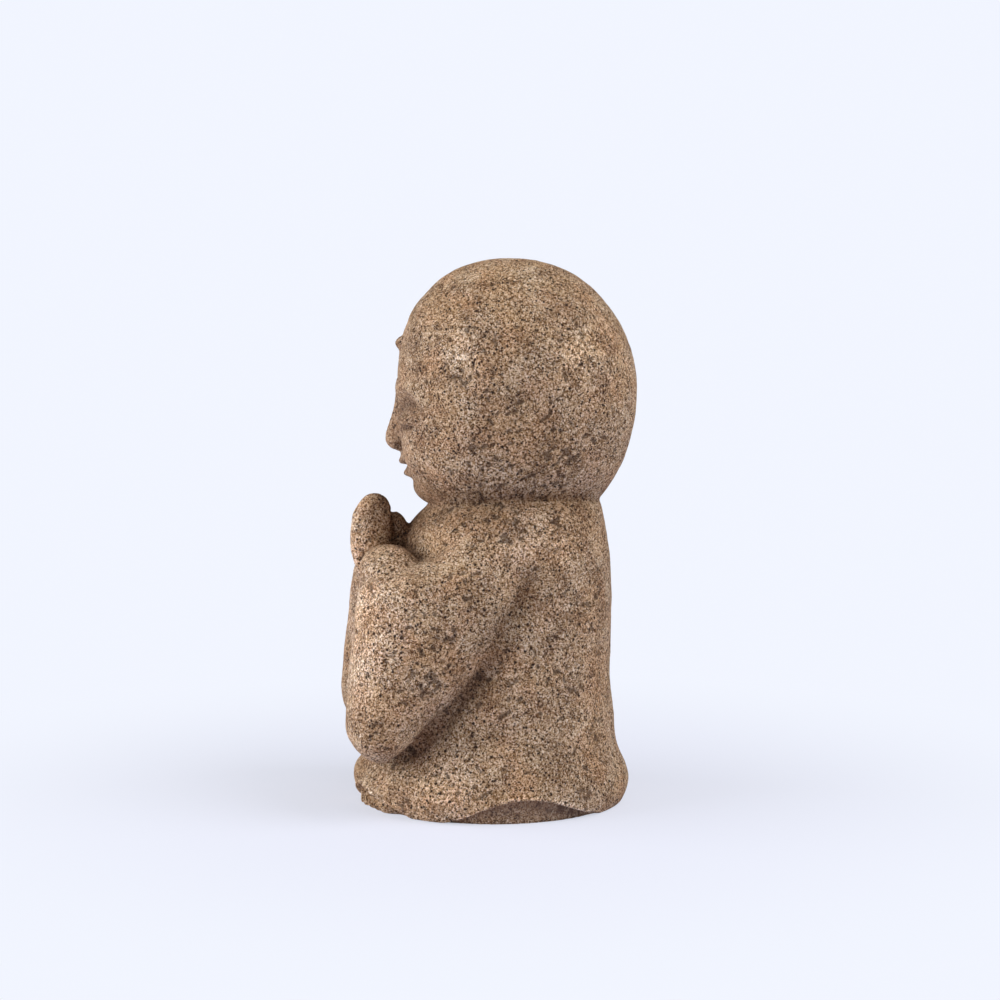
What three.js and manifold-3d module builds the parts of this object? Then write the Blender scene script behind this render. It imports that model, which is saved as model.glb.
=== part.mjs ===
// A small stone jizo, a praying child monk carved from one block of granite.
// Millimetres, +Z up, the figure faces -Y and its left side is +X. It stands on z = 0.
// Each carved form is a lump: a loft of level superellipse sections, and the lumps are joined into one
// solid.

import * as THREE from 'three';
import { LoftGeometry } from 'three/addons/geometries/LoftGeometry.js';
import { mergeVertices } from 'three/addons/utils/BufferGeometryUtils.js';
import Module from 'manifold-3d';

const wasm = await Module();
wasm.setup();

// ---- Driving dimensions ----

const TOTAL_HEIGHT = 300;

// Head: a bald round ball, a little longer front to back than it is wide.
const HEAD_CENTRE_Y = 15.2;
const HEAD_CENTRE_Z = 227.5;
const HEAD_DEPTH = 132;
const HEAD_WIDTH = 126;
const HEAD_ABOVE = TOTAL_HEIGHT - HEAD_CENTRE_Z;
const NAPE_BELOW = 81.5;
const SIDE_BELOW = 74;
const FACE_BELOW = 73;
const CROWN_FRONT_POWER = 2.4;
const CROWN_BACK_POWER = 2.02;
const CROWN_SIDE_POWER = 2.2;
const FACE_POWER = 2.9;
const NAPE_POWER = 2.06;
const SIDE_POWER = 2.2;
const HEAD_SECTION_POWER = 2.1;

// Robe: outline in side view and half width, each as [height, size] stations.
const ROBE_TOP = 176;
const ROBE_FRONT = [[0, -69.5], [6, -73.5], [12, -76], [18, -75], [24, -69.5], [32, -64.5], [60, -61],
  [100, -54], [130, -46.5], [143, -46.4], [151, -45.3], [156, -42], [160, -38], [174, -22]];
const ROBE_BACK = [[0, 74], [5, 76.5], [12, 77.8], [18, 76.5], [27, 71.8], [49, 69], [62, 67.2], [85, 67],
  [110, 67.6], [139, 66.4], [158, 63.5], [166, 61.5], [176, 50]];
const ROBE_HALF_WIDTH = [[0, 76], [10, 78], [20, 76.5], [40, 70.5], [70, 66], [110, 64], [138, 62],
  [152, 60], [161, 57], [168, 50.5], [176, 36]];
const ROBE_POWER = 2.1;

// Low block that the figure stands on, and the two arches where the hem lifts off it.
const BLOCK_HEIGHT = 16;
const BLOCK_CENTRE_Y = 2.5;
const BLOCK_HALF_DEPTH = 70;
const BLOCK_HALF_WIDTH = 73.5;
const LEFT_ARCH = { centreY: 13, halfLength: 36, height: 12.5 };
const RIGHT_ARCH = { centreY: 5, halfLength: 34, height: 10 };
const ARCH_DEPTH = 30;

// Hanging sleeves, one on each side. Each is widest at a share of its depth, counted from the front.
const SLEEVE_BOTTOM = 29.5;
const SLEEVE_TOP = 167;
const SLEEVE_FRONT = [[29, -71], [38, -77], [48, -80.8], [56, -81.2], [70, -80], [100, -77], [118, -75],
  [126, -73], [132, -65], [137, -43], [146, -29], [158, -16], [167, -5]];
const SLEEVE_BACK = [[29, -49], [40, -41], [54, -28], [70, -6], [84, 11], [109, 31], [125, 38],
  [145, 36], [167, 22]];
const SLEEVE_OUTER = [[29, 71], [38, 76.5], [50, 79], [70, 79.5], [95, 78.5], [118, 75], [135, 69],
  [148, 62], [158, 56], [167, 48]];
const SLEEVE_INNER = [[29, 22], [50, 14], [80, 8], [110, 4], [130, 2], [148, 10], [167, 14]];
const SLEEVE_FRONT_POWER = 2.5;
const SLEEVE_BACK_POWER = 1.6;
const SLEEVE_WIDEST = 0.38;
const SLEEVE_BOTTOM_ROUND = 16;
const SLEEVE_TOP_ROUND = 12;

// Rounded forearm and cuff that the hand comes out of.
const CUFF = { bottom: 112, top: 146, front: -73.5, back: -40, inner: 3, outer: 54, power: 2.3 };
const CUFF_ROUND = { bottomRound: 8, topRound: 16 };

// Joined hands: palms together, fingers straight up, thumbs behind.
const HAND = { bottom: 116, top: 169, back: -53, thickness: 13, overlap: 1, power: 2.6 };
const HAND_FRONT = [[116, -70], [131, -74.5], [142, -76.8], [156, -76], [169, -73.4]];
const HAND_ROUND = { bottomRound: 4, topRound: 13 };
const THUMB = { bottom: 128, top: 161, front: -62, thickness: 9.5, overlap: 1, power: 2.2 };
const THUMB_BACK = [[128, -38], [146, -42], [154, -45.4], [161, -47]];
const THUMB_ROUND = { bottomRound: 3, topRound: 6 };

// Toes, from the big one outward, and the arches of the hem that they look out from.
const FOOT_ARCH = { centreX: 28, halfWidth: 24, height: 13, depth: 40, deepest: -58 };
const TOE_COUNT = 5;
const TOE_FIRST_X = 12;
const TOE_PITCH = 8.2;
const TOE_WIDTH = 12.5;
const TOE_LENGTH = 24;
const TOE_HEIGHT = 13;
const TOE_TIP_Y = -72.6;
const TOE_STEP_BACK = 1;
const TOE_CURVE = 0.4;
const TOE_SHRINK = 0.06;
const TOE_ROUND_SHARE = 0.7;
const TOE_POWER = 2.2;

// Face: urna on the brow, nose, closed lids and lips.
const URNA = { z: 254, radius: 3.6 };
const NOSE = { bottom: 195, top: 228, bottomRound: 3, root: 12 };
const NOSE_PROUD = [[195, 3], [199, 7.6], [203, 7.4], [213, 4.2], [228, 0.4]];
const NOSE_HALF_WIDTH = [[195, 6.5], [199, 8], [205, 6.2], [214, 4.4], [228, 5.5]];
const EYELID = { x: 22.5, z: 214, halfWidth: 13, halfHeight: 6.5, proud: 2.8 };
const LIPS = { z: 186, halfWidth: 10, halfHeight: 3.8, proud: 2.6 };
const FACE_ROOT = 4;

// ---- Helpers ----

// Where a lump closes, its last ring keeps this share of its size, so that the cap has an area.
const SMALLEST_SHARE = 0.02;
const WELD_DISTANCE = 1e-4;

/** Smooth curve through [height, size] stations, as a function of the height. */
function through(stations) {
  const heights = stations.map((station) => station[0]);
  const sizes = stations.map((station) => station[1]);
  const curve = new THREE.CubicInterpolant(heights, sizes, 1);
  return (z) => curve.evaluate(z)[0];
}

/**
 * Level ring at height z: a superellipse between front and back, half as wide as `half` says. Its
 * widest place is at the share `widest` from front to back, and behind it the power may be another.
 */
function ring(z, { front, back, centreX, half, power, backPower = power, middle }, columns) {
  const points = [];
  for (let i = 0; i < columns; i += 1) {
    const angle = (2 * Math.PI * i) / columns;
    const along = Math.cos(angle);
    const across = Math.sin(angle);
    const behind = across > 0;
    const reach = behind ? back - middle : middle - front;
    const rounding = 2 / (behind ? backPower : power);
    points.push(new THREE.Vector3(
      centreX + half * Math.sign(along) * Math.abs(along) ** rounding,
      middle + reach * Math.sign(across) * Math.abs(across) ** rounding,
      z,
    ));
  }
  return points;
}

/** Share of its full size that a section keeps at `depth` (0 to 1) into a rounded end. */
function roundEnd(depth, power) {
  const inside = THREE.MathUtils.clamp(depth, 0, 1);
  return (1 - inside ** power) ** (1 / power);
}

/**
 * Closed lump between two heights. `section(z)` gives the ring's sizes; the ends are rounded over the
 * heights `bottomRound` and `topRound`.
 */
function lump({ bottom, top, bottomRound = 0, topRound = 0, rows, columns, section }) {
  const sections = [];
  for (let row = 0; row <= rows; row += 1) {
    const z = bottom + (top - bottom) * (1 - Math.cos((Math.PI * row) / rows)) / 2;
    const low = bottomRound ? roundEnd((bottom + bottomRound - z) / bottomRound, 2) : 1;
    const high = topRound ? roundEnd((z - top + topRound) / topRound, 2) : 1;
    const shrink = Math.max(low * high, SMALLEST_SHARE);
    const sizes = section(z);
    const { front, back, widest = 0.5 } = sizes;
    const middle = front + widest * (back - front);
    sections.push(ring(z, {
      ...sizes,
      middle,
      front: middle - (middle - front) * shrink,
      back: middle + (back - middle) * shrink,
      half: sizes.half * shrink,
    }, columns));
  }
  return solidOf(new LoftGeometry(sections, { closed: true, capStart: true, capEnd: true }));
}

/** A manifold solid from a closed three.js geometry. */
function solidOf(geometry) {
  const bare = new THREE.BufferGeometry();
  bare.setAttribute('position', geometry.getAttribute('position'));
  bare.setIndex(geometry.index);
  const merged = mergeVertices(bare, WELD_DISTANCE);
  return new wasm.Manifold(new wasm.Mesh({
    numProp: 3,
    vertProperties: new Float32Array(merged.attributes.position.array),
    triVerts: new Uint32Array(merged.index.array),
  }));
}

/** Ball stretched to the three half sizes given. */
function ball(x, y, z, halfX, halfY, halfZ, columns = 16) {
  const geometry = new THREE.SphereGeometry(1, columns, columns / 2);
  geometry.scale(halfX, halfY, halfZ);
  geometry.translate(x, y, z);
  return solidOf(geometry);
}

// ---- Forms ----

/** Sizes of the head's level section at height z. */
function headSection(z) {
  const above = z > HEAD_CENTRE_Z;
  const rise = (z - HEAD_CENTRE_Z) / HEAD_ABOVE;
  const fall = HEAD_CENTRE_Z - z;
  const front = above ? roundEnd(rise, CROWN_FRONT_POWER) : roundEnd(fall / FACE_BELOW, FACE_POWER);
  const back = above ? roundEnd(rise, CROWN_BACK_POWER) : roundEnd(fall / NAPE_BELOW, NAPE_POWER);
  const half = above ? roundEnd(rise, CROWN_SIDE_POWER) : roundEnd(fall / SIDE_BELOW, SIDE_POWER);
  return {
    front: HEAD_CENTRE_Y - (HEAD_DEPTH / 2) * Math.max(front, SMALLEST_SHARE),
    back: HEAD_CENTRE_Y + (HEAD_DEPTH / 2) * Math.max(back, SMALLEST_SHARE),
    half: (HEAD_WIDTH / 2) * Math.max(half, SMALLEST_SHARE),
    centreX: 0,
    power: HEAD_SECTION_POWER,
  };
}

/** The y of the face's plain surface at x and z. */
function faceSurface(x, z) {
  const { front, back, half, power } = headSection(z);
  const share = (1 - Math.abs(x / half) ** power) ** (1 / power);
  return (front + back) / 2 - ((back - front) / 2) * share;
}

function head() {
  return lump({
    bottom: HEAD_CENTRE_Z - FACE_BELOW + 1,
    top: TOTAL_HEIGHT,
    rows: 23,
    columns: 42,
    section: headSection,
  });
}

function face() {
  const proud = through(NOSE_PROUD);
  const halfWidth = through(NOSE_HALF_WIDTH);
  const nose = lump({
    bottom: NOSE.bottom,
    top: NOSE.top,
    bottomRound: NOSE.bottomRound,
    rows: 10,
    columns: 16,
    section: (z) => {
      const skin = faceSurface(0, z);
      return {
        front: skin - proud(z),
        back: skin + NOSE.root,
        half: halfWidth(z),
        centreX: 0,
        power: 2,
      };
    },
  });
  const urna = ball(0, faceSurface(0, URNA.z), URNA.z, URNA.radius, URNA.radius, URNA.radius);
  const lips = ball(0, faceSurface(0, LIPS.z) + FACE_ROOT, LIPS.z, LIPS.halfWidth,
    FACE_ROOT + LIPS.proud, LIPS.halfHeight);
  const parts = [nose, urna, lips];
  for (const side of [-1, 1]) {
    const lidY = faceSurface(EYELID.x, EYELID.z);
    parts.push(ball(side * EYELID.x, lidY + FACE_ROOT, EYELID.z, EYELID.halfWidth,
      FACE_ROOT + EYELID.proud, EYELID.halfHeight));
  }
  return parts;
}

function robe() {
  const front = through(ROBE_FRONT);
  const back = through(ROBE_BACK);
  const half = through(ROBE_HALF_WIDTH);
  return lump({
    bottom: 0,
    top: ROBE_TOP,
    rows: 24,
    columns: 48,
    section: (z) => ({ front: front(z), back: back(z), half: half(z), centreX: 0, power: ROBE_POWER }),
  });
}

/** Long low arch through one side of the hem, to be cut away. */
function hemArch(side, { centreY, halfLength, height }) {
  const geometry = new THREE.CylinderGeometry(1, 1, 2 * ARCH_DEPTH, 40);
  geometry.rotateZ(Math.PI / 2);
  geometry.scale(1, halfLength, height);
  geometry.translate(side * (BLOCK_HALF_WIDTH + ARCH_DEPTH / 4), centreY, 0);
  return solidOf(geometry);
}

/** Arch in the front of the hem over one foot, to be cut away. */
function footArch(side) {
  const geometry = new THREE.CylinderGeometry(1, 1, FOOT_ARCH.depth, 32);
  geometry.scale(FOOT_ARCH.halfWidth, 1, FOOT_ARCH.height);
  geometry.translate(side * FOOT_ARCH.centreX, FOOT_ARCH.deepest - FOOT_ARCH.depth / 2, 0);
  return solidOf(geometry);
}

function block() {
  const geometry = new THREE.CylinderGeometry(1, 1, BLOCK_HEIGHT, 64);
  geometry.rotateX(Math.PI / 2);
  geometry.scale(BLOCK_HALF_WIDTH, BLOCK_HALF_DEPTH, 1);
  geometry.translate(0, BLOCK_CENTRE_Y, BLOCK_HEIGHT / 2);
  return solidOf(geometry);
}

function sleeve(side) {
  const front = through(SLEEVE_FRONT);
  const back = through(SLEEVE_BACK);
  const outer = through(SLEEVE_OUTER);
  const inner = through(SLEEVE_INNER);
  return lump({
    bottom: SLEEVE_BOTTOM,
    top: SLEEVE_TOP,
    bottomRound: SLEEVE_BOTTOM_ROUND,
    topRound: SLEEVE_TOP_ROUND,
    rows: 20,
    columns: 30,
    section: (z) => ({
      front: front(z),
      back: back(z),
      half: (outer(z) - inner(z)) / 2,
      centreX: (side * (outer(z) + inner(z))) / 2,
      power: SLEEVE_FRONT_POWER,
      backPower: SLEEVE_BACK_POWER,
      widest: SLEEVE_WIDEST,
    }),
  });
}

function cuff(side) {
  return lump({
    bottom: CUFF.bottom,
    top: CUFF.top,
    ...CUFF_ROUND,
    rows: 9,
    columns: 22,
    section: () => ({
      front: CUFF.front,
      back: CUFF.back,
      half: (CUFF.outer - CUFF.inner) / 2,
      centreX: (side * (CUFF.outer + CUFF.inner)) / 2,
      power: CUFF.power,
    }),
  });
}

function hand(side) {
  const front = through(HAND_FRONT);
  return lump({
    bottom: HAND.bottom,
    top: HAND.top,
    ...HAND_ROUND,
    rows: 9,
    columns: 18,
    section: (z) => ({
      front: front(z),
      back: HAND.back,
      half: HAND.thickness / 2,
      centreX: (side * (HAND.thickness - HAND.overlap)) / 2,
      power: HAND.power,
    }),
  });
}

function thumb(side) {
  const back = through(THUMB_BACK);
  return lump({
    bottom: THUMB.bottom,
    top: THUMB.top,
    ...THUMB_ROUND,
    rows: 7,
    columns: 14,
    section: (z) => ({
      front: THUMB.front,
      back: back(z),
      half: THUMB.thickness / 2,
      centreX: (side * (THUMB.thickness - THUMB.overlap)) / 2,
      power: THUMB.power,
    }),
  });
}

function toes(side) {
  const parts = [];
  for (let i = 0; i < TOE_COUNT; i += 1) {
    const size = 1 - TOE_SHRINK * i;
    const tipY = TOE_TIP_Y + TOE_STEP_BACK * i * (1 + TOE_CURVE * i);
    parts.push(lump({
      bottom: 0,
      top: TOE_HEIGHT * size,
      topRound: TOE_HEIGHT * size * TOE_ROUND_SHARE,
      rows: 5,
      columns: 12,
      section: () => ({
        front: tipY,
        back: tipY + TOE_LENGTH,
        half: (TOE_WIDTH * size) / 2,
        centreX: side * (TOE_FIRST_X + TOE_PITCH * i * (1 - TOE_SHRINK * (i / 2))),
        power: TOE_POWER,
      }),
    }));
  }
  return parts;
}

/** Everything joined into one closed body. */
function statue() {
  const carvedRobe = robe()
    .subtract(hemArch(1, LEFT_ARCH))
    .subtract(hemArch(-1, RIGHT_ARCH))
    .subtract(footArch(1))
    .subtract(footArch(-1));
  const forms = [head(), ...face(), block()];
  for (const side of [-1, 1]) {
    forms.push(sleeve(side), cuff(side), hand(side), thumb(side), ...toes(side));
  }
  return forms.reduce((body, form) => body.add(form), carvedRobe);
}

// ---- Assembly ----

/** Faceted three.js geometry from a manifold solid. */
function geometryOf(solid) {
  const mesh = solid.getMesh();
  const geometry = new THREE.BufferGeometry();
  geometry.setAttribute('position', new THREE.BufferAttribute(new Float32Array(mesh.vertProperties), 3));
  geometry.setIndex(new THREE.BufferAttribute(new Uint32Array(mesh.triVerts), 1));
  geometry.computeVertexNormals();
  return geometry;
}

const granite = new THREE.MeshStandardMaterial({ color: 0x967d66, roughness: 0.9, metalness: 0 });
const figure = new THREE.Mesh(geometryOf(statue()), granite);
figure.name = 'jizo_statue';

const part = new THREE.Group();
part.name = 'stone_jizo_statue';
part.add(figure);

export default part;
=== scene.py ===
"""A small stone jizo: a praying child monk carved from one block of rusty granite.

Millimetres are used for the carving and turned into metres where a mesh is made. The figure faces -Y,
its left side is +X, and it stands on z = 0.
"""

import math

import bpy
import numpy as np
from mathutils import Euler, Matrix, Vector


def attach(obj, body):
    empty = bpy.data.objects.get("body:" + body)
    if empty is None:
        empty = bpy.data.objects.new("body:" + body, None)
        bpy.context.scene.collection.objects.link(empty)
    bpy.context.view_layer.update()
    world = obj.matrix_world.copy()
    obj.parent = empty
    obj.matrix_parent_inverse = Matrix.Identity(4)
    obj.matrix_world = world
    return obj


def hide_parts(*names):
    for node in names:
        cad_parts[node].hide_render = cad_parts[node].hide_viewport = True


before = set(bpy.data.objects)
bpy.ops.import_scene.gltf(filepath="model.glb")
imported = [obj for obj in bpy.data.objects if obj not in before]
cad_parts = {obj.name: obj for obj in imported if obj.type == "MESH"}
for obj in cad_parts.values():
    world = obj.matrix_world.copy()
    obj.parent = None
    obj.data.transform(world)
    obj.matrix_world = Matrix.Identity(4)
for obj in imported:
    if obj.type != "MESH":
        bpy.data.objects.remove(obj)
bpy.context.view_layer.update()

# ---- Low base ----
# The foot of the stone under the robe's hem: a low round block, part of the same granite, sawn flat
# below and rubbed smoother than the figure at its sides.

MM = 0.001
BLOCK_HEIGHT = 16
BLOCK_CENTRE_Y = 2.5
BLOCK_HALF_DEPTH = 70
BLOCK_HALF_WIDTH = 73.5


def through(stations):
    """Smooth curve through (height, size) stations: cubic pieces that share their slopes."""
    heights, sizes = np.array(stations, float).T
    slopes = np.gradient(sizes, heights)

    def curve(z):
        i = np.clip(np.searchsorted(heights, z, side="right") - 1, 0, len(heights) - 2)
        step = heights[i + 1] - heights[i]
        t = (z - heights[i]) / step
        rise = sizes[i + 1] - sizes[i]
        bend_in = slopes[i] * step - rise
        bend_out = rise - slopes[i + 1] * step
        return sizes[i] + rise * t + t * (1 - t) * (bend_in * (1 - t) + bend_out * t)

    return curve


def kept(depth, power=2.0):
    """Share of its full size that a section keeps at a depth of 0 to 1 into a rounded end."""
    return (1 - np.clip(depth, 0, 1) ** power) ** (1 / power)


def level_form(section, bottom, top, low_round=0, high_round=0, rows=40, columns=96, widest=0.5,
               back_power=None):
    """Closed form of level rings between two heights, as points and faces.

    Ring point at angle a: x = centre + half * |cos a|^(2/n), y = middle + reach * |sin a|^(2/n), with
    the signs of cos and sin. The middle lies at the share `widest` from front to back, and behind it
    n may be another power. Towards a rounded end the rings shrink as a quarter circle does. The bottom
    may be one height or a height for each angle.
    """
    angle = np.linspace(0, 2 * math.pi, columns, endpoint=False)
    share = (1 - np.cos(np.linspace(0, math.pi, rows))) / 2
    z = bottom + (top - bottom) * share[:, None] * np.ones(columns)
    front, back, centre, half, front_power = section(z)
    behind = np.sin(angle) > 0
    power = np.where(behind, back_power or front_power, front_power)
    shrink = np.ones_like(z)
    if low_round:
        shrink *= kept((bottom + low_round - z) / low_round)
    if high_round:
        shrink *= kept((z - top + high_round) / high_round)
    shrink = np.maximum(shrink, 0.01)
    across = np.sign(np.cos(angle)) * np.abs(np.cos(angle)) ** (2 / power)
    along = np.sign(np.sin(angle)) * np.abs(np.sin(angle)) ** (2 / power)
    x = centre + half * shrink * across
    middle = front + widest * (back - front)
    y = middle + np.where(behind, back - middle, middle - front) * shrink * along
    ring_points = np.stack([x, y, z], axis=-1).reshape(-1, 3)
    poles = [ring_points[:columns].mean(0), ring_points[-columns:].mean(0)]
    i, j = np.meshgrid(np.arange(rows - 1), np.arange(columns), indexing="ij")
    k = (j + 1) % columns
    here, beside = i * columns + j, i * columns + k
    walls = np.stack([here, beside, beside + columns, here + columns], axis=-1).reshape(-1, 4)
    edge = np.arange(columns)
    after = (edge + 1) % columns
    low_pole = np.full(columns, rows * columns)
    last = (rows - 1) * columns
    floor = np.stack([after, edge, low_pole], axis=-1)
    roof = np.stack([last + edge, last + after, low_pole + 1], axis=-1)
    return np.vstack([ring_points, poles]), walls.tolist() + floor.tolist() + roof.tolist()


def block_section(z):
    front = BLOCK_CENTRE_Y - BLOCK_HALF_DEPTH
    return front, front + 2 * BLOCK_HALF_DEPTH, 0, BLOCK_HALF_WIDTH, 2.0


forms = [level_form(block_section, 0, BLOCK_HEIGHT, rows=8, columns=160)]

# ---- Robe ----
# A plain monk's robe, a little flared at the foot. Its hem hangs just outside the low base, lifts off
# it in a long wave at each side, and lifts again over the toes.

ROBE_TOP = 176
ROBE_FRONT = [(0, -69.5), (6, -73.5), (12, -76), (18, -75), (24, -69.5), (32, -64.5), (60, -61),
              (100, -54), (130, -46.5), (143, -46.4), (151, -45.3), (156, -42), (160, -38), (174, -22)]
ROBE_BACK = [(0, 74), (5, 76.5), (12, 77.8), (18, 76.5), (27, 71.8), (49, 69), (62, 67.2), (85, 67),
             (110, 67.6), (139, 66.4), (158, 63.5), (166, 61.5), (176, 50)]
ROBE_HALF_WIDTH = [(0, 76), (10, 78), (20, 76.5), (40, 70.5), (70, 66), (110, 64), (138, 62),
                   (152, 60), (161, 57), (168, 50.5), (176, 36)]
ROBE_POWER = 2.1
LEFT_WAVE = dict(centre=13.5, reach=42, height=13.8, power=1.2)
RIGHT_WAVE = dict(centre=5, reach=40, height=11, power=1.2)
FOOT_WAVE = dict(centre=28, reach=27, height=13.5, power=0.8)
ROBE_COLUMNS = 220


def robe_section(z):
    return through(ROBE_FRONT)(z), through(ROBE_BACK)(z), 0, through(ROBE_HALF_WIDTH)(z), ROBE_POWER


def wave(place, centre, reach, height, power):
    """Lift of the hem: a cosine hump raised to a power, zero past its reach on either side."""
    return height * np.cos(math.pi / 2 * np.clip((place - centre) / reach, -1, 1)) ** power


def hem_height(columns):
    """Height of the hem at each angle round the robe: the highest of the four waves there."""
    angle = np.linspace(0, 2 * math.pi, columns, endpoint=False)
    front, back, _, half, _ = robe_section(np.zeros(1))
    x = half * np.cos(angle)
    y = (front + back) / 2 + (back - front) / 2 * np.sin(angle)
    left = np.where(x > 0, wave(y, **LEFT_WAVE), 0)
    right = np.where(x < 0, wave(y, **RIGHT_WAVE), 0)
    feet = np.where(y < 0, wave(np.abs(x), **FOOT_WAVE), 0)
    return np.maximum(np.maximum(left, right), feet)


forms.append(level_form(robe_section, hem_height(ROBE_COLUMNS), ROBE_TOP, rows=110,
                        columns=ROBE_COLUMNS))

# ---- Sleeves ----
# Long sleeves that hang from the forearms in a full drop shape, one on each side. Their upper ends
# grow out of the shoulders, and a valley parts each one from the robe behind it.

SLEEVE_BOTTOM = 29.5
SLEEVE_TOP = 167
SLEEVE_FRONT = [(29, -71), (38, -77), (48, -80.8), (56, -81.2), (70, -80), (100, -77), (118, -75),
                (126, -73), (132, -65), (137, -43), (146, -29), (158, -16), (167, -5)]
SLEEVE_BACK = [(29, -49), (40, -41), (54, -28), (70, -6), (84, 11), (109, 31), (125, 38), (145, 36),
               (167, 22)]
SLEEVE_OUTER = [(29, 71), (38, 76.5), (50, 79), (70, 79.5), (95, 78.5), (118, 75), (135, 69), (148, 62),
                (158, 56), (167, 48)]
SLEEVE_INNER = [(29, 22), (50, 14), (80, 8), (110, 4), (130, 2), (148, 10), (167, 14)]
SLEEVE_FRONT_POWER = 2.5
SLEEVE_BACK_POWER = 1.6
SLEEVE_WIDEST = 0.38


def between(side, outer, inner):
    """Centre and half width of a form that lies between two distances from the middle plane."""
    return side * (outer + inner) / 2, (outer - inner) / 2


for side in (-1, 1):
    def sleeve_section(z, side=side):
        centre, half = between(side, through(SLEEVE_OUTER)(z), through(SLEEVE_INNER)(z))
        return through(SLEEVE_FRONT)(z), through(SLEEVE_BACK)(z), centre, half, SLEEVE_FRONT_POWER

    forms.append(level_form(sleeve_section, SLEEVE_BOTTOM, SLEEVE_TOP, low_round=16, high_round=12,
                            rows=90, columns=130, widest=SLEEVE_WIDEST, back_power=SLEEVE_BACK_POWER))

# ---- Cuffs and joined hands ----
# The forearms end in round cuffs. The palms are pressed together with the fingers straight up, and
# the thumbs lie behind them.

CUFF = dict(bottom=112, top=146, front=-73.5, back=-40, inner=3, outer=54)
HAND = dict(bottom=116, top=169, back=-53, thickness=13, overlap=1)
HAND_FRONT = [(116, -70), (131, -74.5), (142, -76.8), (156, -76), (169, -73.4)]
THUMB = dict(bottom=128, top=161, front=-62, thickness=9.5, overlap=1)
THUMB_BACK = [(128, -38), (146, -42), (154, -45.4), (161, -47)]

for side in (-1, 1):
    def cuff_section(z, side=side):
        return CUFF["front"], CUFF["back"], *between(side, CUFF["outer"], CUFF["inner"]), 2.3

    def hand_section(z, side=side):
        centre = side * (HAND["thickness"] - HAND["overlap"]) / 2
        return through(HAND_FRONT)(z), HAND["back"], centre, HAND["thickness"] / 2, 2.6

    def thumb_section(z, side=side):
        centre = side * (THUMB["thickness"] - THUMB["overlap"]) / 2
        return THUMB["front"], through(THUMB_BACK)(z), centre, THUMB["thickness"] / 2, 2.2

    forms.append(level_form(cuff_section, CUFF["bottom"], CUFF["top"], low_round=8, high_round=16,
                            rows=30, columns=80))
    forms.append(level_form(hand_section, HAND["bottom"], HAND["top"], low_round=4, high_round=13,
                            rows=36, columns=60))
    forms.append(level_form(thumb_section, THUMB["bottom"], THUMB["top"], low_round=3, high_round=6,
                            rows=24, columns=40))

# ---- Toes ----
# Ten short round toes that look out from under the hem, the big ones in the middle.

TOE_COUNT = 5
TOE_FIRST_X = 12
TOE_PITCH = 8.2
TOE_WIDTH = 12.5
TOE_LENGTH = 24
TOE_HEIGHT = 13
TOE_TIP_Y = -72.6
TOE_STEP_BACK = 1
TOE_CURVE = 0.4
TOE_SHRINK = 0.06
TOE_ROUND_SHARE = 0.7

for side in (-1, 1):
    for i in range(TOE_COUNT):
        size = 1 - TOE_SHRINK * i
        tip = TOE_TIP_Y + TOE_STEP_BACK * i * (1 + TOE_CURVE * i)
        place = side * (TOE_FIRST_X + TOE_PITCH * i * (1 - TOE_SHRINK * i / 2))
        height = TOE_HEIGHT * size

        def toe_section(z, tip=tip, place=place, size=size):
            return tip, tip + TOE_LENGTH, place, TOE_WIDTH * size / 2, 2.2

        forms.append(level_form(toe_section, 0, height, high_round=height * TOE_ROUND_SHARE,
                                rows=14, columns=28))

# ---- Head ----
# A bald round head, a little longer from front to back than it is wide, that sits on the robe's
# collar. The face is a plain calm one with closed eyes.

HEAD_TOP = 300
HEAD_CENTRE_Y = 15.2
HEAD_CENTRE_Z = 227.5
HEAD_HALF_DEPTH = 66
HEAD_HALF_WIDTH = 63
NAPE_BELOW = 81.5
SIDE_BELOW = 74
FACE_BELOW = 73
CROWN_FRONT_POWER = 2.4
CROWN_BACK_POWER = 2.02
CROWN_SIDE_POWER = 2.2
FACE_POWER = 2.9
NAPE_POWER = 2.06
SIDE_POWER = 2.2
HEAD_SECTION_POWER = 2.1
URNA_Z = 254
URNA_RADIUS = 3.6
NOSE_BOTTOM = 195
NOSE_TOP = 228
NOSE_PROUD = [(195, 3), (199, 7.6), (203, 7.4), (213, 4.2), (228, 0.4)]
NOSE_HALF_WIDTH = [(195, 6.5), (199, 8), (205, 6.2), (214, 4.4), (228, 5.5)]


def head_section(z):
    rise = (z - HEAD_CENTRE_Z) / (HEAD_TOP - HEAD_CENTRE_Z)
    below = HEAD_CENTRE_Z - z
    above = z > HEAD_CENTRE_Z
    front = np.where(above, kept(rise, CROWN_FRONT_POWER), kept(below / FACE_BELOW, FACE_POWER))
    back = np.where(above, kept(rise, CROWN_BACK_POWER), kept(below / NAPE_BELOW, NAPE_POWER))
    half = np.where(above, kept(rise, CROWN_SIDE_POWER), kept(below / SIDE_BELOW, SIDE_POWER))
    return (HEAD_CENTRE_Y - HEAD_HALF_DEPTH * np.maximum(front, 0.01),
            HEAD_CENTRE_Y + HEAD_HALF_DEPTH * np.maximum(back, 0.01),
            0, HEAD_HALF_WIDTH * np.maximum(half, 0.01), HEAD_SECTION_POWER)


def face_surface(x, z):
    """y of the plain head at x and z, on the face's side."""
    front, back, _, half, power = head_section(np.asarray(z, float))
    return (front + back) / 2 - (back - front) / 2 * (1 - np.abs(x / half) ** power) ** (1 / power)


def nose_section(z):
    skin = face_surface(0, z)
    return skin - through(NOSE_PROUD)(z), skin + 12, 0, through(NOSE_HALF_WIDTH)(z), 2.0


def urna_section(z):
    middle = float(face_surface(0, URNA_Z))
    return middle - URNA_RADIUS, middle + URNA_RADIUS, 0, URNA_RADIUS, 2.0


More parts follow.
